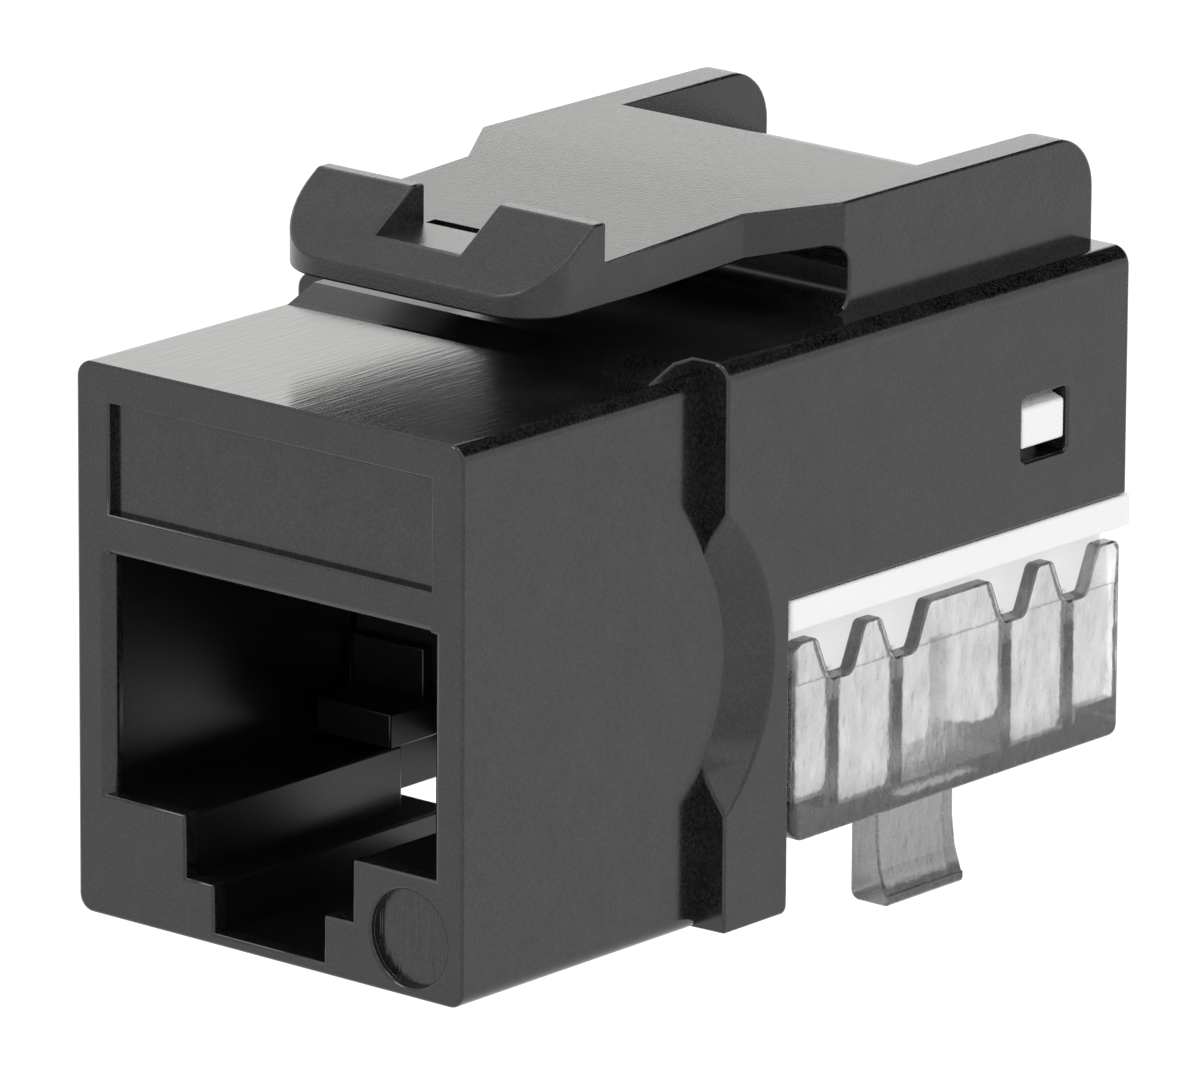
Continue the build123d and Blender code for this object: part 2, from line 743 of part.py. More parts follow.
# Wire cap: clear moulding, pushed on from below
with BuildPart() as wire_cap:
    with BuildSketch(level_plane(cap_bottom)):
        with Locations((0, (cap_front_depth + cap_rear_depth) / 2)):
            RectangleRounded(2 * cap_half_width, cap_rear_depth - cap_front_depth, cap_corner_radius)
    extrude(amount=cap_top - cap_bottom)
    # Round foot and crown at both ends
    cap_front_foot = (cap_front_depth, cap_bottom)
    cap_rear_foot = (cap_rear_depth, cap_bottom)
    cap_rear_crown = (cap_rear_depth, cap_top)
    cap_front_crown = (cap_front_depth, cap_top)
    cap_rounds = [
        (cap_front_foot, cap_foot_round),
        (cap_rear_foot, cap_foot_round),
        (cap_rear_crown, cap_crown_round),
        (cap_front_crown, cap_crown_round),
    ]
    cap_corners = [cap_front_foot, cap_rear_foot, cap_rear_crown, cap_front_crown]
    side_prism(cap_corners, (-cap_half_width - 1, cap_half_width + 1), Mode.INTERSECT, cap_rounds)
    # Inside, open at both ends above the end steps, with thinner walls above the foot of the V slots
    inner_half_width = cap_half_width - cap_wall
    step_front = wire_depths[0] - wire_slot_width / 2 - end_step_gap
    step_rear = wire_depths[3] + wire_slot_width / 2 + end_step_gap
    centred_block(inner_half_width, (step_front, step_rear), (cap_bottom + cap_floor, cap_top), Mode.SUBTRACT)
    centred_block(
        inner_half_width,
        (cap_front_depth - 1, cap_rear_depth + 1),
        (end_step_top, cap_top + 1),
        Mode.SUBTRACT,
    )
    centred_block(
        cap_half_width - cap_rim_wall,
        (cap_front_depth - 1, cap_rear_depth + 1),
        (v_slot_bottom, cap_top + 1),
        Mode.SUBTRACT,
    )
    # V slots through both side walls
    for wire_depth in wire_depths:
        v_front_foot = (wire_depth - v_slot_bottom_width / 2, v_slot_bottom)
        v_rear_foot = (wire_depth + v_slot_bottom_width / 2, v_slot_bottom)
        v_rear_tooth = (wire_depth + v_slot_top_width / 2, cap_top)
        v_front_tooth = (wire_depth - v_slot_top_width / 2, cap_top)
        v_outline = [
            v_front_foot,
            v_rear_foot,
            v_rear_tooth,
            (v_rear_tooth[0] + tooth_round, cap_top),
            (v_rear_tooth[0] + tooth_round, cap_top + 1),
            (v_front_tooth[0] - tooth_round, cap_top + 1),
            (v_front_tooth[0] - tooth_round, cap_top),
            v_front_tooth,
        ]
        v_rounds = [
            (v_front_foot, v_slot_round),
            (v_rear_foot, v_slot_round),
            (v_rear_tooth, tooth_round),
            (v_front_tooth, tooth_round),
        ]
        side_prism(v_outline, (-cap_half_width - 1, cap_half_width + 1), Mode.SUBTRACT, v_rounds)
    for side in (-1, 1):
        # Ribs that push each wire into its terminal, each on a taller web along the wall
        for wire_depth in wire_depths:
            rib_length = (wire_depth - stuffer_width / 2, wire_depth + stuffer_width / 2)
            rib_range = sorted((side * stuffer_inner, side * (stuffer_web_inner + slip_gap)))
            block(rib_range, rib_length, (cap_bottom + cap_floor / 2, stuffer_top))
            web_range = sorted((side * stuffer_web_inner, side * (cap_half_width - cap_wall / 2)))
            block(web_range, rib_length, (cap_bottom + cap_floor / 2, stuffer_web_top))
        # Hooked pull tab
        inner_corner = (side * tab_inner, -tab_drop)
        hook_corner = (side * (tab_outer + hook_reach), -tab_drop)
        tab_outline = [
            (side * tab_inner, cap_bottom + cap_floor / 2),
            (side * tab_outer, cap_bottom + cap_floor / 2),
            (side * (tab_outer + hook_reach * 0.05), 0.3),
            (side * (tab_outer + hook_reach * 0.3), -0.6),
            (side * (tab_outer + hook_reach * 0.85), hook_height - tab_drop),
            (side * (tab_outer + hook_reach), hook_height - tab_drop),
            hook_corner,
            inner_corner,
        ]
        tab_range = (wire_centre_depth - tab_length / 2, wire_centre_depth + tab_length / 2)
        tab_rounds = [(inner_corner, hook_round), (hook_corner, hook_round / 2)]
        front_prism(tab_outline, tab_range, rounds=tab_rounds)
wire_cap.part.label = "wire_cap"
export_step(wire_cap.part, "parts/wire_cap.step")
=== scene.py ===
import json
import math

import bmesh
import bpy
from mathutils import Matrix, Vector
from mathutils.bvhtree import BVHTree


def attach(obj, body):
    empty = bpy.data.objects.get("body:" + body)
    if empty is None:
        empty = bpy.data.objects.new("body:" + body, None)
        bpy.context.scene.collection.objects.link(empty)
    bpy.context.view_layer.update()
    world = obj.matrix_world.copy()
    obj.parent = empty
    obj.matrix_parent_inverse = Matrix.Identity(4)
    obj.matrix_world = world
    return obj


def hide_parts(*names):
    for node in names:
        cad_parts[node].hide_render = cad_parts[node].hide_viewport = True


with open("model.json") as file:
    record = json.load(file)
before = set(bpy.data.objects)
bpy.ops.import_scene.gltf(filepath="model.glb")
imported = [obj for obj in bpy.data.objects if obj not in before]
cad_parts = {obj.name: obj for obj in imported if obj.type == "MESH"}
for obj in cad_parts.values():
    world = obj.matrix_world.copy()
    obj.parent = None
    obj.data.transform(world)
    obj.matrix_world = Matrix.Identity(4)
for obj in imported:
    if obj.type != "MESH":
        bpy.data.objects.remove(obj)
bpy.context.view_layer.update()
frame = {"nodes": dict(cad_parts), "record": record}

bl_info = {
    "name": "Keystone jack",
    "version": (1, 0, 0),
    "blender": (4, 5, 0),
    "location": "3D View > Sidebar > Jack",
    "description": "Dresses a keystone jack with rounded edges, moulded finishes and a studio stage",
    "category": "Object",
}

MM = 0.001

# How the solids' corners are found and rounded
WELD_DISTANCE = 0.01 * MM
FLAT_FOLD = math.radians(0.8)
CORNER_FOLD = math.radians(28)
BROAD_FACE_FOLD = math.radians(6)
BROAD_FACE_WIDTH = 0.5 * MM
SHARP_FOLD = math.radians(50)
ROUND_SEGMENTS = 2
STRAY_SHARE = 0.6
ROUND_WELD_DISTANCE = 0.002 * MM
CARRIER_ROUND_SHARE = 0.7
SAME_DEPTH = 0.02 * MM

# Regions of the housing: from, to and width of the soft edge in millimetres, by axis
PORT = {"X": (-6.5, 6.5, 0.1), "Z": (1.0, 12.9, 0.1), "Y": (-13.85, 12.0, 0.1)}
GATE_RECESS = {"X": (3.8, 6.7, 0.02), "Z": (1.9, 4.8, 0.02), "Y": (-14.2, -14.0, 0.02)}
RAMP = {"Z": (17.97, 18.5, 0.02), "Y": (-6.1, -3.0, 0.05), "X": (-9.0, -1.8, 1.8)}
SLOPE = {"Z": (18.02, 18.3, 0.04)}
BOX_TOP = {"Z": (17.8, 17.95, 0.05)}
LATCH_ARM_HEIGHT = (19.0 * MM, 19.9 * MM)
SPECK_SPACING = 1.4 * MM

# Regions of the clear cap
# Below this band the pull tabs get their painted shade tint
CAP_WALL_HEIGHT = (3.3 * MM, 5.0 * MM)
# The inner part of the cap, which is darkened with painted shade
CAP_SHADED_INSIDE = {"X": (-5.25, 5.25, 0.15)}

HOUSING_IOR = 1.55
CARRIER_IOR = 1.5
BLOCK_IOR = 1.5
CAP_IOR = 1.58

# How much a texture shrinks along the run of marks, lines and ripples
EVEN = (1.0, 1.0, 1.0)
MARKS_ALONG = (1.0, 0.06, 1.0)
MARKS_ACROSS = (0.06, 1.0, 1.0)
MARKS_UPRIGHT = (1.0, 1.0, 0.05)
RIPPLES_UPRIGHT = (1.0, 1.0, 0.5)
DRAWN_ALONG = (1.0, 0.05, 1.0)
DRAWN_UPRIGHT = (1.0, 1.0, 0.05)

# Width of the pattern on each material
BLOCK_GRAIN = 0.2 * MM
BLOCK_PATCH = 3.0 * MM
CAP_GRAIN = 0.18 * MM
DRAWN_LINE = 0.05 * MM
PLATING_PATCH = 0.7 * MM
TRACK_SPACING = 6.0 * MM

# Depth and strength of each relief
TOP_MARK_RELIEF = (0.011 * MM, 0.6)
SLOPE_MARK_RELIEF = (0.01 * MM, 0.5)
GATE_MARK_RELIEF = (0.03 * MM, 0.9)
GRAIN_RELIEF = (0.0012 * MM, 0.5)
ARM_GRAIN_RELIEF = (0.012 * MM, 1.0)
BLOCK_GRAIN_RELIEF = (0.004 * MM, 0.3)
RIPPLE_RELIEF = (0.045 * MM, 0.9)
CAP_GRAIN_RELIEF = (0.003 * MM, 0.3)
DRAWN_LINE_RELIEF = (0.004 * MM, 0.3)
TRACK_RELIEF = (0.02 * MM, 0.3)

# The middle of the view, and how far the camera is moved aside and up from it
LOOK_AT = (0.0, 0.6 * MM, 9.66 * MM)
SHIFT_ASIDE = 0.4477 * MM
SHIFT_UP = 1.0093 * MM

# The point that the lamps and the dark card face
AIM = (0.0, 0.0, 0.01)
NEUTRAL = (1.0, 1.0, 1.0)
WARM = (1.0, 1.0, 0.95)
# Name, place, width and height in metres, radiance, colour
LAMPS = (
    ("back softbox", (-0.42, 0.52, 0.19), (0.9, 0.26), 1.0, WARM),
    ("key softbox", (-0.35, -0.55, 0.7), (0.3, 0.3), 4.6, NEUTRAL),
    ("top softbox", (0.15, -0.1, 0.85), (0.25, 0.25), 4.0, NEUTRAL),
    ("side softbox", (0.75, -0.1, 0.45), (0.6, 0.5), 0.5, NEUTRAL),
)
FLAG_PLACE = (0.09, 0.64, 0.47)
FLAG_SIZE = (1.0, 0.44)

BODY_OF = {node: body for body, nodes in frame["record"]["behaviour"]["bodies"].items() for node in nodes}
CONTACTS = sorted(name for name in frame["nodes"] if name.startswith("contact_") and name[-1].isdigit())
TERMINALS = sorted(name for name in frame["nodes"] if name.startswith("idc_terminal_"))


# Settings

def length(name, about, default):
    return bpy.props.FloatProperty(
        name=name, description=about, default=default, min=0.0, precision=5, unit="LENGTH"
    )


def share(name, about, default):
    return bpy.props.FloatProperty(
        name=name, description=about, default=default, min=0.0, max=1.0, subtype="FACTOR"
    )


def angle(name, about, degrees):
    return bpy.props.FloatProperty(
        name=name, description=about, default=math.radians(degrees), subtype="ANGLE"
    )


def tint(name, about, default):
    return bpy.props.FloatVectorProperty(
        name=name, description=about, default=default, min=0.0, max=1.0, size=3, subtype="COLOR"
    )


class JackHousingSettings(bpy.types.PropertyGroup):
    edge_round: length("Edge round", "Radius of the moulded edges of the black parts", 0.08 * MM)
    colour: tint("Colour", "Colour of the black moulding", (0.0105, 0.0105, 0.0106))
    roughness: share("Roughness", "Roughness of the polished faces", 0.16)
    port_roughness: share("Port roughness", "Roughness of the dull faces inside the port", 0.3)
    ramp_roughness: share("Ramp roughness", "Roughness of the ramp behind the box top", 0.38)
    arm_roughness: share("Arm roughness", "Roughness of the matt latch arm", 0.27)
    grain: length("Grain", "Width of the fine grain of the mould's surface", 0.09 * MM)
    patch: length("Patch", "Width of the faint pale and dark patches", 1.1 * MM)
    mark: length("Mark", "Width of the fine marks along the depth", 0.13 * MM)


class JackMetalSettings(bpy.types.PropertyGroup):
    gold: tint("Gold", "Colour of the plated contact springs", (0.86, 0.62, 0.26))
    tin: tint("Tin", "Colour of the plated wire terminals", (0.7, 0.7, 0.69))
    mask: tint("Mask", "Colour of the circuit board's solder mask", (0.012, 0.14, 0.055))


class JackBlockSettings(bpy.types.PropertyGroup):
    edge_round: length("Edge round", "Radius of the moulded edges of the wire block", 0.08 * MM)
    colour: tint("Colour", "Colour of the white wire block", (0.88, 0.88, 0.875))
    roughness: share("Roughness", "Mean roughness of the wire block", 0.42)
    pillar_depth: length("Pillar depth", "Where the front of the rear middle posts stands", 7.79 * MM)
    pillar_reach: length("Pillar reach", "How much further forward those posts reach", 1.1 * MM)


class JackCapSettings(bpy.types.PropertyGroup):
    edge_round: length("Edge round", "Radius of the moulded edges of the clear cap", 0.07 * MM)
    wall_tint: tint("Wall tint", "Colour that the clear walls let through", (1.0, 1.0, 1.0))
    # Painted shade: the dark tint of the cut edges, ribs and inner faces
    painted_shade_tint: tint("Painted shade tint", "Painted shade that the cut edges, ribs and inner faces let through", (0.26, 0.26, 0.265))
    # Painted shade: the dark tint of the pull tabs
    tab_shade_tint: tint("Tab shade tint", "Painted shade that the pull tabs let through", (0.33, 0.33, 0.335))
    let_through: tint("Let through", "Share of plain light that passes each surface", (0.97, 0.97, 0.97))
    smoke: tint("Smoke", "Colour that stays as light goes through the clear cap", (0.5, 0.5, 0.505))
    smoke_density: bpy.props.FloatProperty(
        name="Smoke density", description="How fast the cap darkens with thickness, per metre", default=130.0
    )
    roughness: share("Roughness", "Roughness of the clear cap's surface", 0.24)
    ripple: length("Ripple", "Width of the ripples in the clear walls", 0.35 * MM)


class JackStageSettings(bpy.types.PropertyGroup):
    azimuth: angle("Azimuth", "Camera angle to the right of the port", 40.465)
    elevation: angle("Elevation", "Camera angle above the floor", 15.682)
    roll: angle("Roll", "Turn of the camera about its view", 0.338)
    distance: length("Distance", "From the camera to the middle of the jack", 370.7 * MM)
    lens: bpy.props.FloatProperty(name="Lens", description="Focal length in millimetres", default=385.18)
    floor_radius: length("Floor radius", "Radius of the round floor", 3.0)
    floor_drop: length("Floor drop", "Room under the jack in which the wire cap comes off", 12.2 * MM)
    sky: share("Sky", "Strength of the pale surroundings", 0.95)


# Shapes

def merged_solid(node_name):
    shape = bmesh.new()
    shape.from_mesh(frame["nodes"][node_name].data)
    bmesh.ops.remove_doubles(shape, verts=shape.verts, dist=WELD_DISTANCE)
    bmesh.ops.dissolve_limit(
        shape, angle_limit=FLAT_FOLD, use_dissolve_boundaries=False, verts=shape.verts, edges=shape.edges
    )
    shape.edges.ensure_lookup_table()
    return shape


def rounded(solid, numbers, edge_round):
    shape = solid.copy()
    shape.edges.ensure_lookup_table()
    bmesh.ops.bevel(
        shape,
        geom=[shape.edges[number] for number in numbers],
        offset=edge_round,
        offset_type="OFFSET",
        segments=ROUND_SEGMENTS,
        profile=0.5,
        affect="EDGES",
        clamp_overlap=False,
        material=-1,
    )
    return shape


def nearest_edges(solid, numbers, point):
    # The two edges whose ends are joined through the point with the least detour
    def detour(number):
        first, second = solid.edges[number].verts
        return (first.co - point).length + (second.co - point).length - (first.co - second.co).length
    return sorted(numbers, key=detour)[:2]


def stray_points(shape, skin, edge_round):
    return [v.co.copy() for v in shape.verts if skin.find_nearest(v.co)[3] > STRAY_SHARE * edge_round]


def is_corner(edge):
    # A clear fold, or a slight one between two broad faces
    if len(edge.link_faces) != 2:
        return False
    fold = edge.calc_face_angle()
    broad = all(face.calc_area() > BROAD_FACE_WIDTH * edge.calc_length() for face in edge.link_faces)
    return fold > CORNER_FOLD or (broad and fold > BROAD_FACE_FOLD)


def move_forward(solid, depth, reach):
    # Bring the faces that stand at this depth forward
    for vertex in solid.verts:
        if abs(vertex.co.y - depth) < SAME_DEPTH:
            vertex.co.y -= reach


def rounded_copy(node_name, piece_name, edge_round, shift=None):
    # A merged copy of the solid with its outer corners rounded and its inner ones sharp. Where rounds crowd
    # each other into a stray point, the edges beside it stay sharp too.
    solid = merged_solid(node_name)
    if shift:
        move_forward(solid, *shift)
    skin = BVHTree.FromBMesh(solid)
    corners = {edge.index for edge in solid.edges if is_corner(edge)}
    for number in corners:
        solid.edges[number].smooth = False
    numbers = {number for number in corners if solid.edges[number].is_convex}
    shape = rounded(solid, numbers, edge_round)
    strays = stray_points(shape, skin, edge_round)
    while strays and numbers:
        for point in strays:
            numbers = numbers - set(nearest_edges(solid, numbers, point))
        shape.free()
        shape = rounded(solid, numbers, edge_round)
        strays = stray_points(shape, skin, edge_round)
    solid.free()
    bmesh.ops.remove_doubles(shape, verts=shape.verts, dist=ROUND_WELD_DISTANCE)
    for face in shape.faces:
        face.smooth = True
    for edge in shape.edges:
        if len(edge.link_faces) == 2 and edge.calc_face_angle() > SHARP_FOLD:
            edge.smooth = False
    mesh = bpy.data.meshes.new(piece_name)
    shape.to_mesh(mesh)
    shape.free()
    piece = bpy.data.objects.new(piece_name, mesh)
    bpy.context.scene.collection.objects.link(piece)
    weighted = piece.modifiers.new("Even shading", "WEIGHTED_NORMAL")
    weighted.keep_sharp = True
    return piece


def dress(node_name, piece_name, edge_round, material, shift=None):
    piece = rounded_copy(node_name, piece_name, edge_round, shift)
    piece.data.materials.append(material)
    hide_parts(node_name)
    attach(piece, BODY_OF[node_name])
    return piece


def finish_node(node_name, material):
    node = frame["nodes"][node_name]
    if not node.material_slots:
        node.data.materials.append(material)
    for material_slot in node.material_slots:
        material_slot.material = material


# Finishes

def blank_material(name):
    material = bpy.data.materials.new(name)
    material.use_nodes = True
    tree = material.node_tree
    tree.nodes.clear()
    output = tree.nodes.new("ShaderNodeOutputMaterial")
    shader = tree.nodes.new("ShaderNodeBsdfPrincipled")
    tree.links.new(shader.outputs["BSDF"], output.inputs["Surface"])
    return material, tree, shader


def coordinate(tree, kind, axis):
    place = tree.nodes.new("ShaderNodeTexCoord")
    parts = tree.nodes.new("ShaderNodeSeparateXYZ")
    tree.links.new(place.outputs[kind], parts.inputs["Vector"])
    return parts.outputs[axis]


def object_mapping(tree, scale):
    place = tree.nodes.new("ShaderNodeTexCoord")
    mapping = tree.nodes.new("ShaderNodeMapping")
    mapping.inputs["Scale"].default_value = scale
    tree.links.new(place.outputs["Object"], mapping.inputs["Vector"])
    return mapping.outputs["Vector"]


def noise(tree, vector, size, detail=2.0, roughness=0.5):
    texture = tree.nodes.new("ShaderNodeTexNoise")
    texture.inputs["Scale"].default_value = 1.0 / size
    texture.inputs["Detail"].default_value = detail
    texture.inputs["Roughness"].default_value = roughness
    tree.links.new(vector, texture.inputs["Vector"])
    return texture.outputs["Fac"]


def spread(tree, value, low, high, from_low=0.3, from_high=0.7):
    limits = tree.nodes.new("ShaderNodeMapRange")
    limits.inputs["From Min"].default_value = from_low
    limits.inputs["From Max"].default_value = from_high
    limits.inputs["To Min"].default_value = low
    limits.inputs["To Max"].default_value = high
    tree.links.new(value, limits.inputs["Value"])
    return limits.outputs["Result"]


def colour_mix(tree, factor, first, second):
    ramp = tree.nodes.new("ShaderNodeValToRGB")
    ramp.color_ramp.elements[0].color = (*first, 1.0)
    ramp.color_ramp.elements[1].color = (*second, 1.0)
    tree.links.new(factor, ramp.inputs["Fac"])
    return ramp.outputs["Color"]


def relief(tree, height, size, under=None):
    depth, strength = size
    bump = tree.nodes.new("ShaderNodeBump")
    bump.inputs["Distance"].default_value = depth
    bump.inputs["Strength"].default_value = strength
    tree.links.new(height, bump.inputs["Height"])
    if under is not None:
        tree.links.new(under, bump.inputs["Normal"])
    return bump.outputs["Normal"]


def maths(tree, operation, first, second):
    step = tree.nodes.new("ShaderNodeMath")
    step.operation = operation
    tree.links.new(first, step.inputs[0])
    tree.links.new(second, step.inputs[1])
    return step.outputs["Value"]


def product(tree, first, second):
    return maths(tree, "MULTIPLY", first, second)


def larger(tree, first, second):
    return maths(tree, "MAXIMUM", first, second)


def blend(tree, factor, first, second, kind="MIX"):
    # Each colour is a socket or a plain value
    mix = tree.nodes.new("ShaderNodeMix")
    mix.data_type = "RGBA"
    mix.blend_type = kind
    tree.links.new(factor, mix.inputs["Factor"])
    for name, colour in (("A", first), ("B", second)):
        if isinstance(colour, bpy.types.NodeSocket):
            tree.links.new(colour, mix.inputs[name])
        else:
            mix.inputs[name].default_value = (*colour, 1.0)
    return mix.outputs["Result"]


def height_mask(tree, low, high):
    # 0 below the low height, 1 above the high one
    return spread(tree, coordinate(tree, "Object", "Z"), 0.0, 1.0, low, high)


def within(tree, axis, low, high, soft):
    # 1 between the two places on this axis, 0 outside them
    along = coordinate(tree, "Object", axis)
    above = spread(tree, along, 0.0, 1.0, low - soft, low)
    below = spread(tree, along, 1.0, 0.0, high, high + soft)
    return product(tree, above, below)


def region(tree, limits):
    # 1 inside the limits of every axis, 0 outside them
    inside = None
    for axis, (low, high, soft) in limits.items():
        mask = within(tree, axis, low * MM, high * MM, soft * MM)
        inside = mask if inside is None else product(tree, inside, mask)
    return inside


def broadside(tree):
    # 1 on the faces turned to the left or the right, 0 on the others
    across = coordinate(tree, "Normal", "X")
    return spread(tree, product(tree, across, across), 0.0, 1.0, 0.5, 0.8)


def black_moulding(name, settings, ior):
    # Black plastic: a polished box top with marks along the depth, dull port and ramp, a matt arm, pale specks
    material, tree, shader = blank_material(name)
    even = object_mapping(tree, EVEN)
    grain = noise(tree, even, settings.grain, detail=3.0, roughness=0.65)
    patches = noise(tree, even, settings.patch, detail=3.0)
    marks = noise(tree, object_mapping(tree, MARKS_ALONG), settings.mark, roughness=0.6)
    across = noise(tree, object_mapping(tree, MARKS_ACROSS), settings.mark, roughness=0.6)
    upright = noise(tree, object_mapping(tree, MARKS_UPRIGHT), settings.mark, roughness=0.6)
    specks = tree.nodes.new("ShaderNodeTexVoronoi")
    specks.inputs["Scale"].default_value = 1.0 / SPECK_SPACING
    specks.inputs["Randomness"].default_value = 1.0
    tree.links.new(even, specks.inputs["Vector"])
    speck = spread(tree, specks.outputs["Distance"], 1.0, 0.0, 0.02, 0.035)
    port = region(tree, PORT)
    gate = region(tree, GATE_RECESS)
    slope = region(tree, SLOPE)
    ramp = region(tree, RAMP)
    top = region(tree, BOX_TOP)
    matt = height_mask(tree, *LATCH_ARM_HEIGHT)

    dark = tuple(c * 0.1 for c in settings.colour)
    light = tuple(c * 1.7 for c in settings.colour)
    pale = tuple(min(1.0, c * 2.8) for c in settings.colour)
    fine_part = spread(tree, grain, 0.0, 0.75, 0.42, 0.62)
    wide_part = spread(tree, patches, 0.0, 0.25, 0.36, 0.64)
    uneven = maths(tree, "ADD", fine_part, wide_part)
    # Inside the port the grain fades and the colour goes darker: weaker grain, and painted shade in the port
    uneven = product(tree, uneven, spread(tree, port, 1.0, 0.3, 0.0, 1.0))
    ground = colour_mix(tree, uneven, dark, light)
    tree.links.new(blend(tree, speck, ground, pale), shader.inputs["Base Color"])

    arm = product(tree, matt, spread(tree, grain, 0.8, 1.2, 0.42, 0.62))
    rough = spread(tree, arm, settings.roughness, settings.arm_roughness, 0.0, 1.0)
    rough = larger(tree, rough, spread(tree, port, 0.0, settings.port_roughness, 0.0, 1.0))
    rough = larger(tree, rough, spread(tree, ramp, 0.0, settings.ramp_roughness, 0.0, 1.0))
    tree.links.new(rough, shader.inputs["Roughness"])
    shader.inputs["IOR"].default_value = ior

    normal = relief(tree, product(tree, marks, top), TOP_MARK_RELIEF)
    normal = relief(tree, product(tree, across, slope), SLOPE_MARK_RELIEF, normal)
    normal = relief(tree, product(tree, upright, gate), GATE_MARK_RELIEF, normal)
    normal = relief(tree, grain, GRAIN_RELIEF, normal)
    normal = relief(tree, product(tree, grain, matt), ARM_GRAIN_RELIEF, normal)
    tree.links.new(normal, shader.inputs["Normal"])
    return material


def white_moulding(name, colour, roughness):
    # White plastic with wide faint patches and a fine grain
    material, tree, shader = blank_material(name)
    even = object_mapping(tree, EVEN)
    fine = noise(tree, even, BLOCK_GRAIN)
    patches = noise(tree, even, BLOCK_PATCH)
    shade = tuple(c * 0.95 for c in colour)
    tree.links.new(colour_mix(tree, patches, shade, colour), shader.inputs["Base Color"])
    tree.links.new(spread(tree, patches, roughness - 0.05, roughness + 0.05), shader.inputs["Roughness"])
    shader.inputs["IOR"].default_value = BLOCK_IOR
    shader.inputs["Subsurface Weight"].default_value = 0.15
    shader.inputs["Subsurface Radius"].default_value = (1.0, 0.9, 0.8)
    shader.inputs["Subsurface Scale"].default_value = 0.3 * MM
    tree.links.new(relief(tree, fine, BLOCK_GRAIN_RELIEF), shader.inputs["Normal"])
    return material


def clear_moulding(name, settings):
    # Smoky clear plastic: rippled clear side walls; the cut edges, ribs and inner faces and the pull tabs are
    # darkened with painted shade
    material, tree, shader = blank_material(name)
    even = object_mapping(tree, EVEN)
    flow = object_mapping(tree, RIPPLES_UPRIGHT)
    ripple = noise(tree, flow, settings.ripple)
    clouds = noise(tree, flow, settings.ripple * 1.6, detail=3.0)
    fine = noise(tree, even, CAP_GRAIN)
    wall = height_mask(tree, *CAP_WALL_HEIGHT)

    # Painted shade: faces not turned to the left or right, and the inner part, get a dark tint
    shaded_rims = blend(tree, broadside(tree), settings.painted_shade_tint, settings.wall_tint)
    # Painted shade: the pull tabs below the walls get a dark tint
    shaded_tabs = blend(tree, wall, settings.tab_shade_tint, shaded_rims)
    shaded_inside = blend(tree, region(tree, CAP_SHADED_INSIDE), shaded_tabs, settings.painted_shade_tint)
    cloudy = spread(tree, clouds, 0.0, 1.0, 0.35, 0.6)
    cloudy = colour_mix(tree, cloudy, (0.75, 0.75, 0.75), (1.0, 1.0, 1.0))
    tree.links.new(blend(tree, wall, shaded_inside, cloudy, "MULTIPLY"), shader.inputs["Base Color"])

    shader.inputs["Transmission Weight"].default_value = 1.0
    shader.inputs["IOR"].default_value = CAP_IOR
    rough = spread(tree, fine, settings.roughness - 0.04, settings.roughness + 0.04)
    tree.links.new(rough, shader.inputs["Roughness"])
    normal = relief(tree, product(tree, ripple, broadside(tree)), RIPPLE_RELIEF)
    normal = relief(tree, fine, CAP_GRAIN_RELIEF, normal)
    tree.links.new(normal, shader.inputs["Normal"])

    smoke = tree.nodes.new("ShaderNodeVolumeAbsorption")
    smoke.inputs["Color"].default_value = (*settings.smoke, 1.0)
    smoke.inputs["Density"].default_value = settings.smoke_density
    output = next(n for n in tree.nodes if n.bl_idname == "ShaderNodeOutputMaterial")
    tree.links.new(smoke.outputs["Volume"], output.inputs["Volume"])

    # Light of the lamps and of the pieces behind goes straight through the walls, dimmed once
    path = tree.nodes.new("ShaderNodeLightPath")
    through = tree.nodes.new("ShaderNodeBsdfTransparent")
    through.inputs["Color"].default_value = (*settings.let_through, 1.0)
    choice = tree.nodes.new("ShaderNodeMixShader")
    plain = larger(tree, path.outputs["Is Shadow Ray"], path.outputs["Is Diffuse Ray"])
    tree.links.new(plain, choice.inputs["Fac"])
    tree.links.new(shader.outputs["BSDF"], choice.inputs[1])
    tree.links.new(through.outputs["BSDF"], choice.inputs[2])
    tree.links.new(choice.outputs["Shader"], output.inputs["Surface"])
    return material


def plated_metal(name, colour, roughness, along):
    # Drawn and plated strip: fine lines along its run, duller patches
    material, tree, shader = blank_material(name)
    lines = noise(tree, object_mapping(tree, along), DRAWN_LINE)
    patches = noise(tree, object_mapping(tree, EVEN), PLATING_PATCH)
    dull = tuple(c * 0.8 for c in colour)
    tree.links.new(colour_mix(tree, patches, dull, colour), shader.inputs["Base Color"])
    tree.links.new(spread(tree, patches, roughness, roughness + 0.12), shader.inputs["Roughness"])
    shader.inputs["Metallic"].default_value = 1.0
    tree.links.new(relief(tree, lines, DRAWN_LINE_RELIEF), shader.inputs["Normal"])
    return material


def solder_mask(name, colour):
    # Green mask with faint raised tracks under it
    material, tree, shader = blank_material(name)
    tracks = tree.nodes.new("ShaderNodeTexWave")
    tracks.inputs["Scale"].default_value = 1.0 / TRACK_SPACING
    tracks.inputs["Distortion"].default_value = 3.0
    tree.links.new(object_mapping(tree, EVEN), tracks.inputs["Vector"])
    lighter = tuple(min(1.0, c * 1.6) for c in colour)
    tree.links.new(colour_mix(tree, tracks.outputs["Fac"], colour, lighter), shader.inputs["Base Color"])
    shader.inputs["Roughness"].default_value = 0.3
    tree.links.new(relief(tree, tracks.outputs["Fac"], TRACK_RELIEF), shader.inputs["Normal"])
    return material


# Pieces

class JACK_OT_housing(bpy.types.Operator):
    """Round and finish the black housing"""
    bl_idname = "jack.housing"
    bl_label = "Housing"

    def execute(self, context):
        settings = context.scene.jack_housing
        material = black_moulding("housing_black", settings, HOUSING_IOR)
        piece = dress("housing", "housing_moulding", settings.edge_round, material)
        return {"FINISHED"}


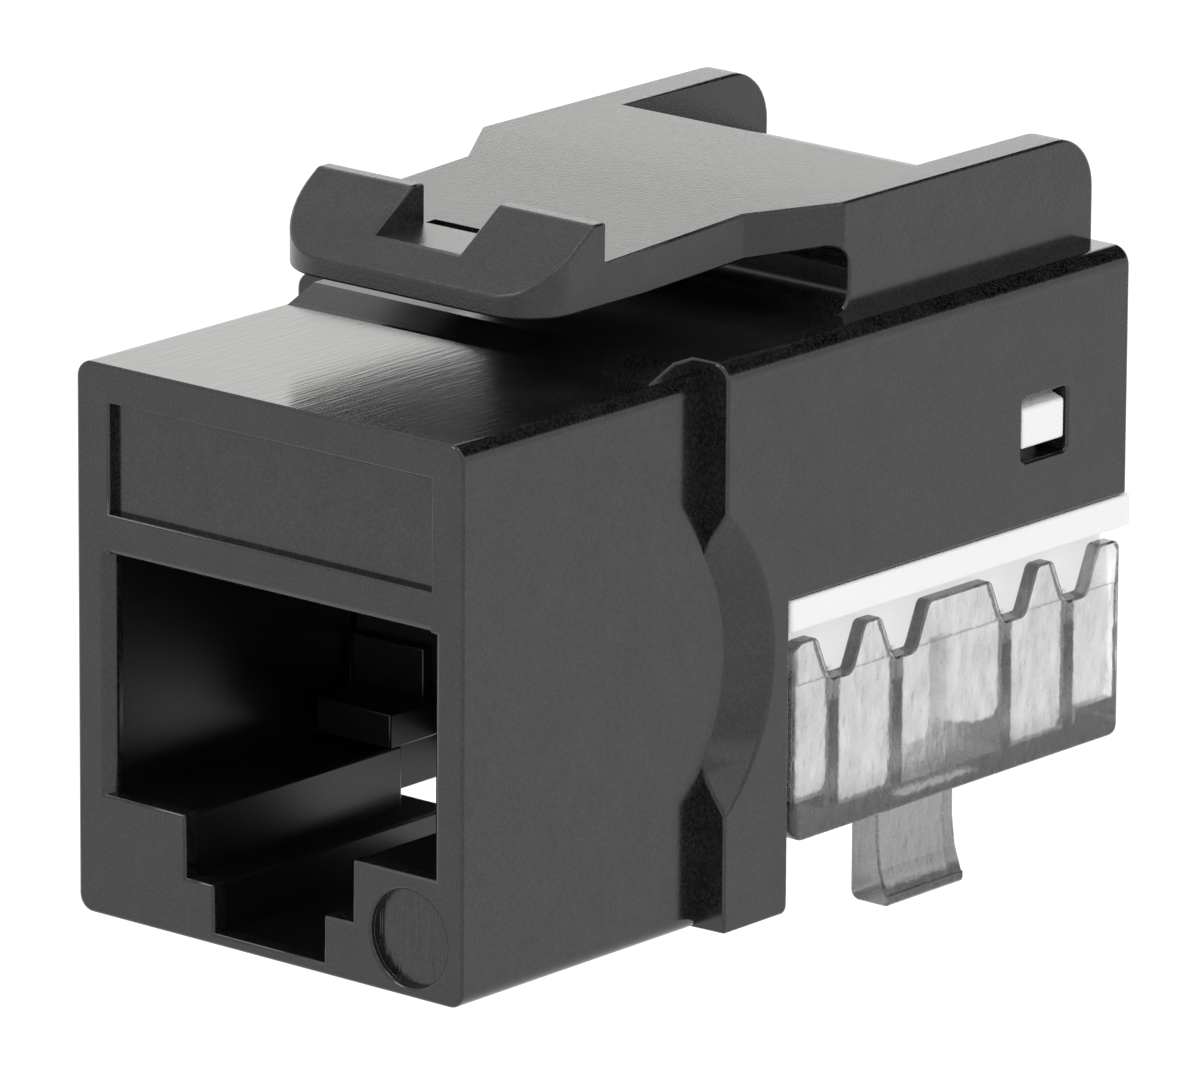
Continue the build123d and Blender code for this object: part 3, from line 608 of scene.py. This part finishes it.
class JACK_OT_port_insert(bpy.types.Operator):
    """Round and finish the contact carrier and plate its springs"""
    bl_idname = "jack.port_insert"
    bl_label = "Port insert"

    def execute(self, context):
        settings = context.scene.jack_housing
        material = black_moulding("carrier_black", settings, CARRIER_IOR)
        edge_round = settings.edge_round * CARRIER_ROUND_SHARE
        piece = dress("contact_carrier", "carrier_moulding", edge_round, material)
        gold = plated_metal("contact_gold", context.scene.jack_metal.gold, 0.18, DRAWN_ALONG)
        for name in CONTACTS:
            finish_node(name, gold)
        return {"FINISHED"}


class JACK_OT_board(bpy.types.Operator):
    """Finish the circuit board"""
    bl_idname = "jack.board"
    bl_label = "Circuit board"

    def execute(self, context):
        finish_node("circuit_board", solder_mask("board_green", context.scene.jack_metal.mask))
        return {"FINISHED"}


class JACK_OT_wire_block(bpy.types.Operator):
    """Round and finish the white wire block and plate its terminals"""
    bl_idname = "jack.wire_block"
    bl_label = "Wire block"

    def execute(self, context):
        settings = context.scene.jack_block
        material = white_moulding("block_white", settings.colour, settings.roughness)
        pillars = (settings.pillar_depth, settings.pillar_reach)
        piece = dress("idc_block", "block_moulding", settings.edge_round, material, shift=pillars)
        tin = plated_metal("terminal_tin", context.scene.jack_metal.tin, 0.28, DRAWN_UPRIGHT)
        for name in TERMINALS:
            finish_node(name, tin)
        return {"FINISHED"}


class JACK_OT_wire_cap(bpy.types.Operator):
    """Round and finish the clear wire cap"""
    bl_idname = "jack.wire_cap"
    bl_label = "Wire cap"

    def execute(self, context):
        settings = context.scene.jack_cap
        material = clear_moulding("cap_clear", settings)
        piece = dress("wire_cap", "cap_moulding", settings.edge_round, material)
        return {"FINISHED"}


# Stage

def turned_to(place, target):
    return (Vector(target) - Vector(place)).to_track_quat("-Z", "Y").to_euler()


def add_lamp(name, place, size, radiance, colour):
    data = bpy.data.lights.new(name, "AREA")
    data.shape = "RECTANGLE"
    data.size, data.size_y = size
    data.energy = radiance * math.pi * size[0] * size[1]
    data.color = colour
    lamp = bpy.data.objects.new(name, data)
    lamp.location = place
    lamp.rotation_euler = turned_to(place, AIM)
    lamp.visible_camera = False
    bpy.context.scene.collection.objects.link(lamp)


def seen_directly(tree):
    # 1 for camera, glossy and transmitted light paths, 0 for the rest
    path = tree.nodes.new("ShaderNodeLightPath")
    mirrored = larger(tree, path.outputs["Is Camera Ray"], path.outputs["Is Glossy Ray"])
    return larger(tree, mirrored, path.outputs["Is Transmission Ray"])


def add_world(strength):
    world = bpy.data.worlds.new("Pale room")
    world.use_nodes = True
    tree = world.node_tree
    background = tree.nodes["Background"]
    background.inputs["Color"].default_value = (1.0, 1.0, 1.0, 1.0)
    shown = spread(tree, seen_directly(tree), strength, 1.0, 0.0, 1.0)
    tree.links.new(shown, background.inputs["Strength"])
    bpy.context.scene.world = world


def add_floor(radius, drop):
    shape = bmesh.new()
    bmesh.ops.create_circle(shape, cap_ends=True, segments=96, radius=radius)
    mesh = bpy.data.meshes.new("floor")
    shape.to_mesh(mesh)
    shape.free()
    floor = bpy.data.objects.new("floor", mesh)
    floor.location.z = -drop
    bpy.context.scene.collection.objects.link(floor)
    material, tree, shader = blank_material("pale_floor")
    seen = seen_directly(tree)
    paint = colour_mix(tree, seen, (0.86, 0.86, 0.86), (0.5, 0.5, 0.5))
    tree.links.new(paint, shader.inputs["Base Color"])
    shader.inputs["Emission Color"].default_value = (1.0, 1.0, 1.0, 1.0)
    tree.links.new(spread(tree, seen, 0.0, 0.55, 0.0, 1.0), shader.inputs["Emission Strength"])
    shader.inputs["Roughness"].default_value = 1.0
    shader.inputs["Specular IOR Level"].default_value = 0.0
    floor.data.materials.append(material)


def add_flag(place, size):
    # A dark card that only mirrored light paths meet: it draws the dark bands along polished corners
    shape = bmesh.new()
    bmesh.ops.create_grid(shape, x_segments=1, y_segments=1, size=0.5)
    mesh = bpy.data.meshes.new("dark flag")
    shape.to_mesh(mesh)
    shape.free()
    flag = bpy.data.objects.new("dark flag", mesh)
    flag.location = place
    flag.rotation_euler = turned_to(place, AIM)
    flag.scale = (size[0], size[1], 1.0)
    bpy.context.scene.collection.objects.link(flag)
    material, tree, shader = blank_material("flag_black")
    shader.inputs["Base Color"].default_value = (0.0, 0.0, 0.0, 1.0)
    shader.inputs["Roughness"].default_value = 1.0
    shader.inputs["Specular IOR Level"].default_value = 0.0
    flag.data.materials.append(material)
    flag.visible_camera = False
    flag.visible_diffuse = False
    flag.visible_transmission = False
    flag.visible_shadow = False


def add_camera(settings):
    middle = Vector(LOOK_AT)
    across, along, turn = settings.azimuth, settings.elevation, settings.roll
    forward = Vector((
        -math.sin(across) * math.cos(along),
        math.cos(across) * math.cos(along),
        -math.sin(along),
    ))
    right = Vector((math.cos(across), math.sin(across), 0.0))
    up = right.cross(forward)
    right, up = right * math.cos(turn) + up * math.sin(turn), up * math.cos(turn) - right * math.sin(turn)
    place = middle - right * SHIFT_ASIDE + up * SHIFT_UP - forward * settings.distance
    data = bpy.data.cameras.new("camera")
    data.sensor_width = 36.0
    data.lens = settings.lens
    data.clip_start = 0.01
    data.clip_end = 20.0
    camera = bpy.data.objects.new("camera", data)
    camera.matrix_world = Matrix((
        (right.x, up.x, -forward.x, place.x),
        (right.y, up.y, -forward.y, place.y),
        (right.z, up.z, -forward.z, place.z),
        (0.0, 0.0, 0.0, 1.0),
    ))
    bpy.context.scene.collection.objects.link(camera)
    bpy.context.scene.camera = camera


class JACK_OT_stage(bpy.types.Operator):
    """Add the floor, the lamps, the pale room and the camera"""
    bl_idname = "jack.stage"
    bl_label = "Stage"

    def execute(self, context):
        settings = context.scene.jack_stage
        add_world(settings.sky)
        add_floor(settings.floor_radius, settings.floor_drop)
        for lamp in LAMPS:
            add_lamp(*lamp)
        add_flag(FLAG_PLACE, FLAG_SIZE)
        add_camera(settings)
        context.scene.view_settings.view_transform = "Standard"
        return {"FINISHED"}


class JACK_PT_parts(bpy.types.Panel):
    """Lists the operators that dress the jack"""
    bl_idname = "JACK_PT_parts"
    bl_label = "Keystone jack"
    bl_space_type = "VIEW_3D"
    bl_region_type = "UI"
    bl_category = "Jack"

    def draw(self, context):
        for operator in OPERATORS:
            self.layout.operator(operator.bl_idname)
        for name in SETTINGS:
            box = self.layout.box()
            group = getattr(context.scene, name)
            for key in group.__annotations__:
                box.prop(group, key)


OPERATORS = (
    JACK_OT_housing,
    JACK_OT_port_insert,
    JACK_OT_board,
    JACK_OT_wire_block,
    JACK_OT_wire_cap,
    JACK_OT_stage,
)
SETTINGS = {
    "jack_housing": JackHousingSettings,
    "jack_metal": JackMetalSettings,
    "jack_block": JackBlockSettings,
    "jack_cap": JackCapSettings,
    "jack_stage": JackStageSettings,
}


def register():
    for kind in (*SETTINGS.values(), *OPERATORS, JACK_PT_parts):
        bpy.utils.register_class(kind)
    for name, kind in SETTINGS.items():
        setattr(bpy.types.Scene, name, bpy.props.PointerProperty(type=kind))


def unregister():
    for name in SETTINGS:
        delattr(bpy.types.Scene, name)
    for kind in (JACK_PT_parts, *reversed(OPERATORS), *reversed(SETTINGS.values())):
        bpy.utils.unregister_class(kind)


def main():
    register()
    bpy.ops.jack.housing()
    bpy.ops.jack.port_insert()
    bpy.ops.jack.board()
    bpy.ops.jack.wire_block()
    bpy.ops.jack.wire_cap()
    bpy.ops.jack.stage()


if __name__ == "__main__":
    main()
